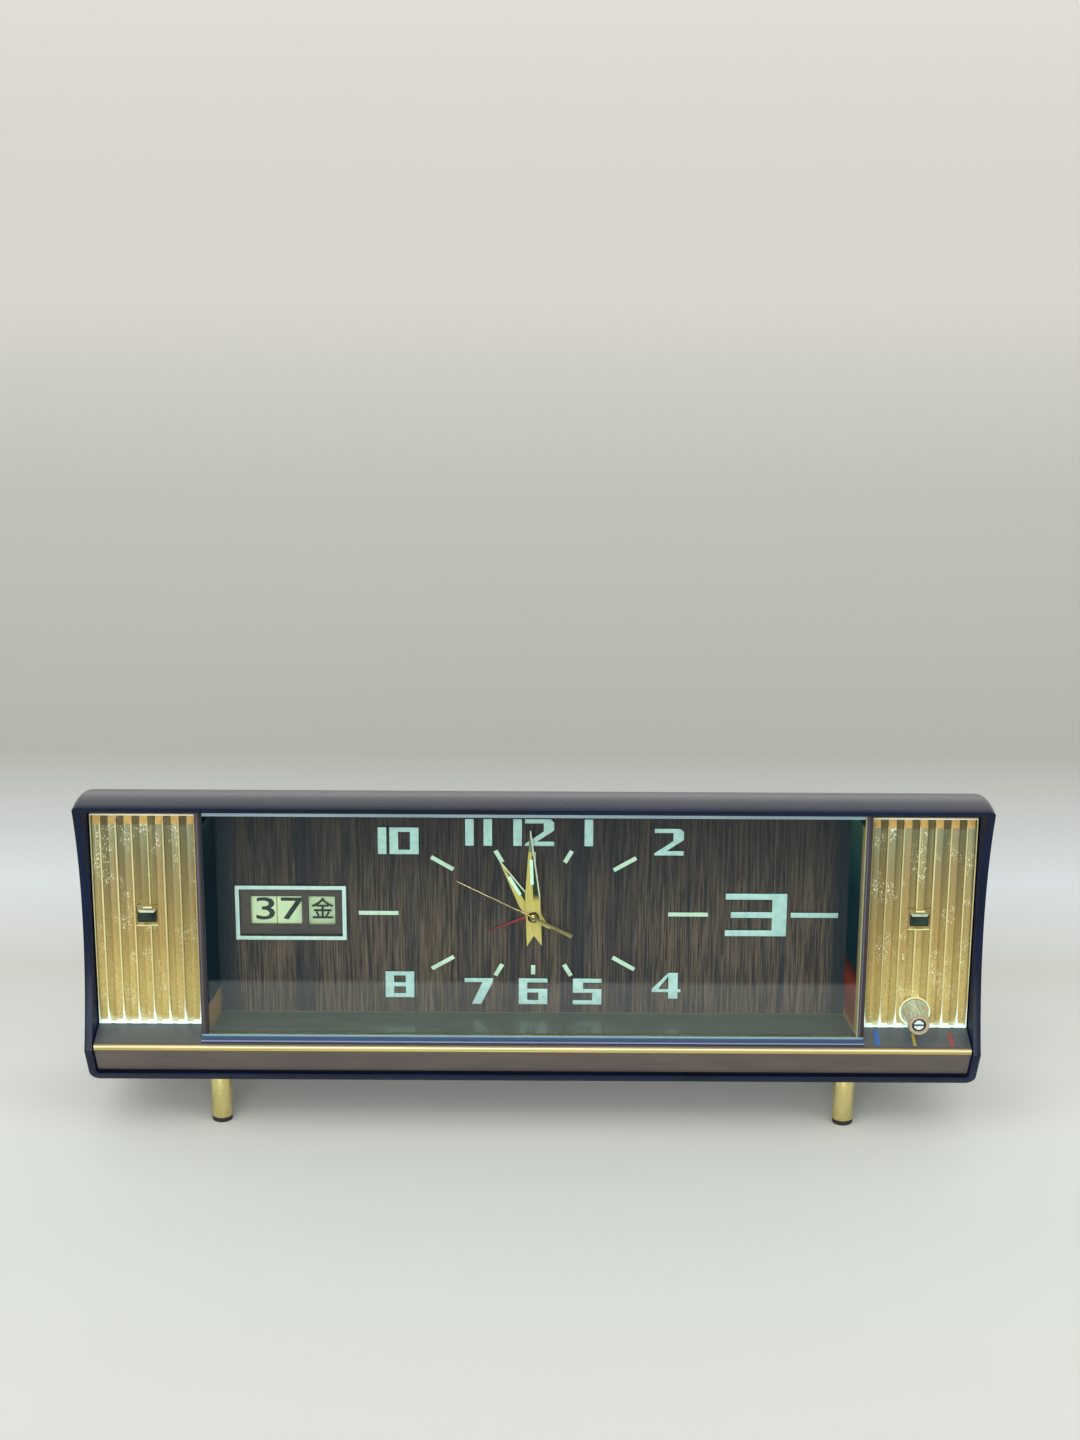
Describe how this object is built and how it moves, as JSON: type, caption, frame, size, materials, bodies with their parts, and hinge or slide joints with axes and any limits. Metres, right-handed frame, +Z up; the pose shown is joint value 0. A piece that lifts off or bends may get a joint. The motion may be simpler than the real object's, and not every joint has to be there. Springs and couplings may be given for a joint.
{
  "type": "desk clock with calendar",
  "caption": "Wide low mechanical desk clock with a wood-grain dial, a date and weekday drum calendar, fluted gold side panels and short brass legs.",
  "frame": {"origin": "middle of the clock on the surface that its four leg tips stand on", "axes": "+X to the right as seen from the front, +Y to the back, +Z up; the dial faces -Y"},
  "size_m": [0.36, 0.096, 0.1429],
  "materials": {
    "case_plastic": "moulded, satin gloss",
    "fascia_lacquer": "satin lacquer",
    "gold_trim": "polished",
    "panel_gold": "brushed and lacquered",
    "ornament_metal": "faceted, bright",
    "bezel_plastic": "gloss",
    "clear_glass": "clear",
    "tunnel_plastic": "matt",
    "reflector_gold": "bright sheet",
    "dial_print": "printed dark wood grain",
    "numeral_paint": "pale mint print",
    "marker_lume": "luminous paint",
    "mask_plastic": "matt dark",
    "drum_plastic": "pale cream green",
    "thumb_plastic": "moulded",
    "steel": "plain turned",
    "hand_gold": "polished",
    "alarm_hand_red": "painted",
    "movement_brass": "fine brushed",
    "bell_chrome": "plated",
    "key_metal": "plated",
    "cover_plastic": "pressed board, painted",
    "leg_brass": "brushed",
    "tip_rubber": "matt",
    "knob_metal": "spun, pale"
  },
  "bodies": {
    "root": {"case_shell": "case_plastic", "front_fascia": "fascia_lacquer", "gold_trim_strip": "gold_trim", "fluted_panels": "panel_gold", "panel_ornaments": "ornament_metal", "window_bezel": "bezel_plastic", "window_glass": "clear_glass", "dial_tunnel": "tunnel_plastic", "side_reflectors": "reflector_gold", "dial_plate": "dial_print", "dial_numerals": "numeral_paint", "hour_markers": "marker_lume", "calendar_surround": "numeral_paint", "calendar_mask": "mask_plastic", "calendar_bracket": "steel", "calendar_axles": "steel", "rear_cover": "cover_plastic", "case_screws": "steel", "legs": "leg_brass", "leg_tips": "tip_rubber", "selector_bushing": "steel", "front_plate": "movement_brass", "back_plate": "movement_brass", "movement_pillars": "steel", "alarm_bell": "bell_chrome", "bell_stand": "steel", "music_bedplate": "movement_brass", "music_comb": "steel"},
    "minute_arbor": {"cannon_pinion": "movement_brass", "minute_hand": "hand_gold"},
    "hour_arbor": {"hour_wheel": "movement_brass", "hour_hand": "hand_gold"},
    "minute_wheel": {"minute_wheel": "movement_brass"},
    "time_set": {"time_set_knob": "thumb_plastic"},
    "alarm_arbor": {"alarm_wheel": "movement_brass", "alarm_hand": "alarm_hand_red"},
    "alarm_set": {"alarm_set_knob": "thumb_plastic"},
    "seconds_arbor": {"fourth_wheel": "movement_brass", "second_hand": "hand_gold"},
    "centre_arbor": {"centre_wheel": "movement_brass"},
    "third_arbor": {"third_wheel": "movement_brass"},
    "escape_arbor": {"escape_wheel": "movement_brass"},
    "time_barrel": {"time_barrel": "movement_brass"},
    "time_key": {"time_key": "key_metal"},
    "bell_key": {"bell_key": "key_metal"},
    "music_key": {"music_key": "key_metal"},
    "pallet": {"pallet_lever": "steel"},
    "balance": {"balance_wheel": "movement_brass"},
    "alarm_barrel": {"alarm_barrel": "movement_brass"},
    "hammer": {"alarm_hammer": "steel"},
    "cylinder": {"music_cylinder": "movement_brass"},
    "governor": {"music_governor": "steel"},
    "regulator": {"regulator_lever": "steel"},
    "selector": {"selector_knob": "knob_metal"},
    "tens_drum": {"tens_drum": "drum_plastic"},
    "units_drum": {"units_drum": "drum_plastic"},
    "weekday_drum": {"weekday_drum": "drum_plastic"},
    "tens_thumb": {"tens_thumbwheel": "thumb_plastic"},
    "units_thumb": {"units_thumbwheel": "thumb_plastic"},
    "weekday_thumb": {"weekday_thumbwheel": "thumb_plastic"}
  },
  "joints": [
    {"name": "minute_spin", "type": "hinge", "parent": "root", "child": "minute_arbor", "pos_m": [0, -0.02, 0.0869], "axis": [0, 1, 0], "continuous": true},
    {"name": "minute_wheel_spin", "type": "hinge", "parent": "root", "child": "minute_wheel", "pos_m": [0.012, -0.012, 0.0869], "axis": [0, 1, 0], "continuous": true},
    {"name": "hour_spin", "type": "hinge", "parent": "root", "child": "hour_arbor", "pos_m": [0, -0.018, 0.0869], "axis": [0, 1, 0], "continuous": true},
    {"name": "time_set_spin", "type": "hinge", "parent": "root", "child": "time_set", "pos_m": [0.024, 0.039, 0.0869], "axis": [0, 1, 0], "continuous": true},
    {"name": "alarm_spin", "type": "hinge", "parent": "root", "child": "alarm_arbor", "pos_m": [0, -0.017, 0.0869], "axis": [0, 1, 0], "continuous": true},
    {"name": "alarm_set_spin", "type": "hinge", "parent": "root", "child": "alarm_set", "pos_m": [-0.0135, 0.039, 0.06352], "axis": [0, 1, 0], "continuous": true},
    {"name": "seconds_spin", "type": "hinge", "parent": "root", "child": "seconds_arbor", "pos_m": [0, -0.022, 0.0869], "axis": [0, 1, 0], "continuous": true},
    {"name": "centre_spin", "type": "hinge", "parent": "root", "child": "centre_arbor", "pos_m": [0, -0.006, 0.0869], "axis": [0, 1, 0], "continuous": true},
    {"name": "third_spin", "type": "hinge", "parent": "root", "child": "third_arbor", "pos_m": [-0.018, 0, 0.0869], "axis": [0, 1, 0], "continuous": true},
    {"name": "escape_spin", "type": "hinge", "parent": "root", "child": "escape_arbor", "pos_m": [-0.00602, 0.005, 0.10344], "axis": [0, 1, 0], "continuous": true},
    {"name": "time_barrel_spin", "type": "hinge", "parent": "root", "child": "time_barrel", "pos_m": [0.0105, 0, 0.06871], "axis": [0, 1, 0], "continuous": true},
    {"name": "time_key_turn", "type": "hinge", "parent": "root", "child": "time_key", "pos_m": [0.0105, 0.04, 0.06871], "axis": [0, 1, 0], "continuous": true},
    {"name": "bell_key_turn", "type": "hinge", "parent": "root", "child": "bell_key", "pos_m": [0.034, 0.04, 0.0729], "axis": [0, 1, 0], "continuous": true},
    {"name": "music_key_turn", "type": "hinge", "parent": "root", "child": "music_key", "pos_m": [0.116, 0.04, 0.0515], "axis": [0, 1, 0], "continuous": true},
    {"name": "pallet_swing", "type": "hinge", "parent": "root", "child": "pallet", "pos_m": [-0.01448, 0.005, 0.10428], "axis": [0, 1, 0], "range_deg": [-6, 6]},
    {"name": "balance_swing", "type": "hinge", "parent": "root", "child": "balance", "pos_m": [-0.02712, 0.001, 0.10554], "axis": [0, 1, 0], "range_deg": [-180, 180], "stiffness_Nm_per_rad": 0.000012},
    {"name": "alarm_barrel_spin", "type": "hinge", "parent": "root", "child": "alarm_barrel", "pos_m": [0.034, 0, 0.0729], "axis": [0, 1, 0], "continuous": true},
    {"name": "hammer_swing", "type": "hinge", "parent": "root", "child": "hammer", "pos_m": [0.04, 0.007, 0.1055], "axis": [0, 1, 0], "range_deg": [0, 12]},
    {"name": "cylinder_spin", "type": "hinge", "parent": "root", "child": "cylinder", "pos_m": [0.086, 0.006, 0.0515], "axis": [1, 0, 0], "continuous": true},
    {"name": "governor_spin", "type": "hinge", "parent": "root", "child": "governor", "pos_m": [0.0635, 0.006, 0.0515], "axis": [0, 0, 1], "continuous": true},
    {"name": "regulator_swing", "type": "hinge", "parent": "root", "child": "regulator", "pos_m": [-0.02712, 0.014, 0.10554], "axis": [0, 1, 0], "range_deg": [-12, 12]},
    {"name": "selector_turn", "type": "hinge", "parent": "root", "child": "selector", "pos_m": [0.1549, -0.04, 0.0507], "axis": [0, 1, 0], "range_deg": [-50, 50]},
    {"name": "tens_drum_spin", "type": "hinge", "parent": "root", "child": "tens_drum", "pos_m": [-0.11, 0.0068, 0.0869], "axis": [1, 0, 0], "continuous": true},
    {"name": "units_drum_spin", "type": "hinge", "parent": "root", "child": "units_drum", "pos_m": [-0.0994, 0.0068, 0.0869], "axis": [1, 0, 0], "continuous": true},
    {"name": "weekday_drum_spin", "type": "hinge", "parent": "root", "child": "weekday_drum", "pos_m": [-0.0863, 0.0068, 0.0869], "axis": [1, 0, 0], "continuous": true},
    {"name": "tens_thumb_spin", "type": "hinge", "parent": "root", "child": "tens_thumb", "pos_m": [-0.11, 0.0223, 0.05948], "axis": [1, 0, 0], "continuous": true},
    {"name": "units_thumb_spin", "type": "hinge", "parent": "root", "child": "units_thumb", "pos_m": [-0.0994, 0.0223, 0.05948], "axis": [1, 0, 0], "continuous": true},
    {"name": "weekday_thumb_spin", "type": "hinge", "parent": "root", "child": "weekday_thumb", "pos_m": [-0.0863, 0.0223, 0.05948], "axis": [1, 0, 0], "continuous": true}
  ],
  "couplings": [
    {"joint": "minute_wheel_spin", "follows": "minute_spin", "ratio": -0.33333},
    {"joint": "hour_spin", "follows": "minute_spin", "ratio": 0.083333},
    {"joint": "time_set_spin", "follows": "minute_spin", "ratio": 1},
    {"joint": "alarm_set_spin", "follows": "alarm_spin", "ratio": -8},
    {"joint": "third_spin", "follows": "seconds_spin", "ratio": -0.13333},
    {"joint": "centre_spin", "follows": "seconds_spin", "ratio": 0.016667},
    {"joint": "time_barrel_spin", "follows": "seconds_spin", "ratio": -0.0027778},
    {"joint": "escape_spin", "follows": "seconds_spin", "ratio": -10},
    {"joint": "governor_spin", "follows": "cylinder_spin", "ratio": 100},
    {"joint": "tens_thumb_spin", "follows": "tens_drum_spin", "ratio": -1.3333},
    {"joint": "units_thumb_spin", "follows": "units_drum_spin", "ratio": -1.3333},
    {"joint": "weekday_thumb_spin", "follows": "weekday_drum_spin", "ratio": -1.3333}
  ]
}
